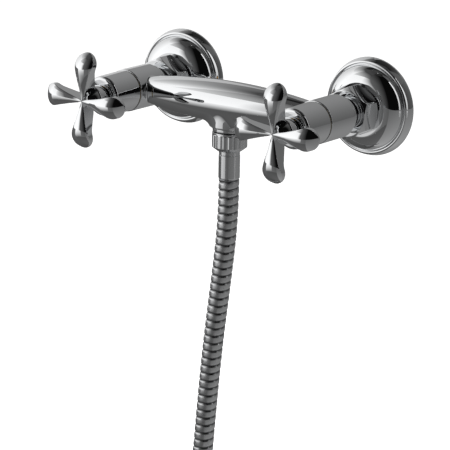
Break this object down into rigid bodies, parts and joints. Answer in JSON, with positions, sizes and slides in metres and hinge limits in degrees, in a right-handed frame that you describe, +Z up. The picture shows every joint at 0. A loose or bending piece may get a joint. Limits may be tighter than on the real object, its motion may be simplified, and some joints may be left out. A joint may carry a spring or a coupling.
{
  "type": "shower mixer",
  "caption": "Wall-mounted shower mixer: barrel bar between two cross-handle valves on domed wall plates, with a hanging metal hose.",
  "frame": {"origin": "on the wall plane, midway between the two inlet axes", "axes": "+X to the right as seen from the front, +Y into the wall, +Z up; the valves point along -Y"},
  "size_m": [0.214, 0.1292, 0.532],
  "materials": {
    "chrome": "polished chrome plate on brass",
    "satin_chrome": "chrome plate, slightly duller",
    "hose_steel": "interlocked chromed steel strip",
    "brass": "machined",
    "steel": "stainless, plain",
    "rubber": "moulded",
    "ceramic": "lapped alumina",
    "acetal": "moulded acetal",
    "strap": "soft rubber strap"
  },
  "bodies": {
    "mixer": {"check_valve_cage": "acetal", "check_valve_spring": "steel", "cold_cover_sleeve": "chrome", "cold_fixed_disc": "ceramic", "cold_headwork": "brass", "cold_headwork_seal": "rubber", "cold_inlet_tail": "chrome", "cold_inlet_washer": "rubber", "cold_seat_seal": "rubber", "cold_strainer": "steel", "cold_union_nut": "chrome", "cold_wall_plate": "chrome", "cold_wall_union": "brass", "cone_washer": "rubber", "end_ferrule": "satin_chrome", "end_insert": "brass", "hose_coil": "hose_steel", "hose_ferrule": "satin_chrome", "hose_insert": "brass", "hose_nut": "satin_chrome", "hose_tie": "strap", "hose_washer": "rubber", "hot_cover_sleeve": "chrome", "hot_fixed_disc": "ceramic", "hot_headwork": "brass", "hot_headwork_seal": "rubber", "hot_inlet_tail": "chrome", "hot_inlet_washer": "rubber", "hot_seat_seal": "rubber", "hot_strainer": "steel", "hot_union_nut": "chrome", "hot_wall_plate": "chrome", "hot_wall_union": "brass", "mixer_body": "chrome", "outlet_nipple": "chrome", "shower_hose": "hose_steel"},
    "hot_control": {"hot_handle": "chrome", "hot_handle_screw": "steel", "hot_spindle": "brass", "hot_spindle_seals": "rubber", "hot_circlip": "steel", "hot_turning_disc": "ceramic"},
    "cold_control": {"cold_handle": "chrome", "cold_handle_screw": "steel", "cold_spindle": "brass", "cold_spindle_seals": "rubber", "cold_circlip": "steel", "cold_turning_disc": "ceramic"},
    "poppet": {"check_valve_poppet": "acetal"},
    "swivel_nut": {"cone_nut": "satin_chrome"}
  },
  "joints": [
    {"name": "hot_turn", "type": "hinge", "parent": "mixer", "child": "hot_control", "pos_m": [-0.075, -0.1104, 0], "axis": [0, -1, 0], "range_deg": [0, 90]},
    {"name": "cold_turn", "type": "hinge", "parent": "mixer", "child": "cold_control", "pos_m": [0.075, -0.1104, 0], "axis": [0, 1, 0], "range_deg": [0, 90]},
    {"name": "poppet_slide", "type": "slide", "parent": "mixer", "child": "poppet", "axis": [0, 0, -1], "range_m": [0, 0.0035], "stiffness_N_per_m": 30, "springref_m": -0.002, "deforming": ["check_valve_spring"]},
    {"name": "cone_nut_spin", "type": "hinge", "parent": "mixer", "child": "swivel_nut", "pos_m": [-0.07909, -0.01885, -0.47435], "axis": [0, 0, 1], "continuous": true}
  ]
}
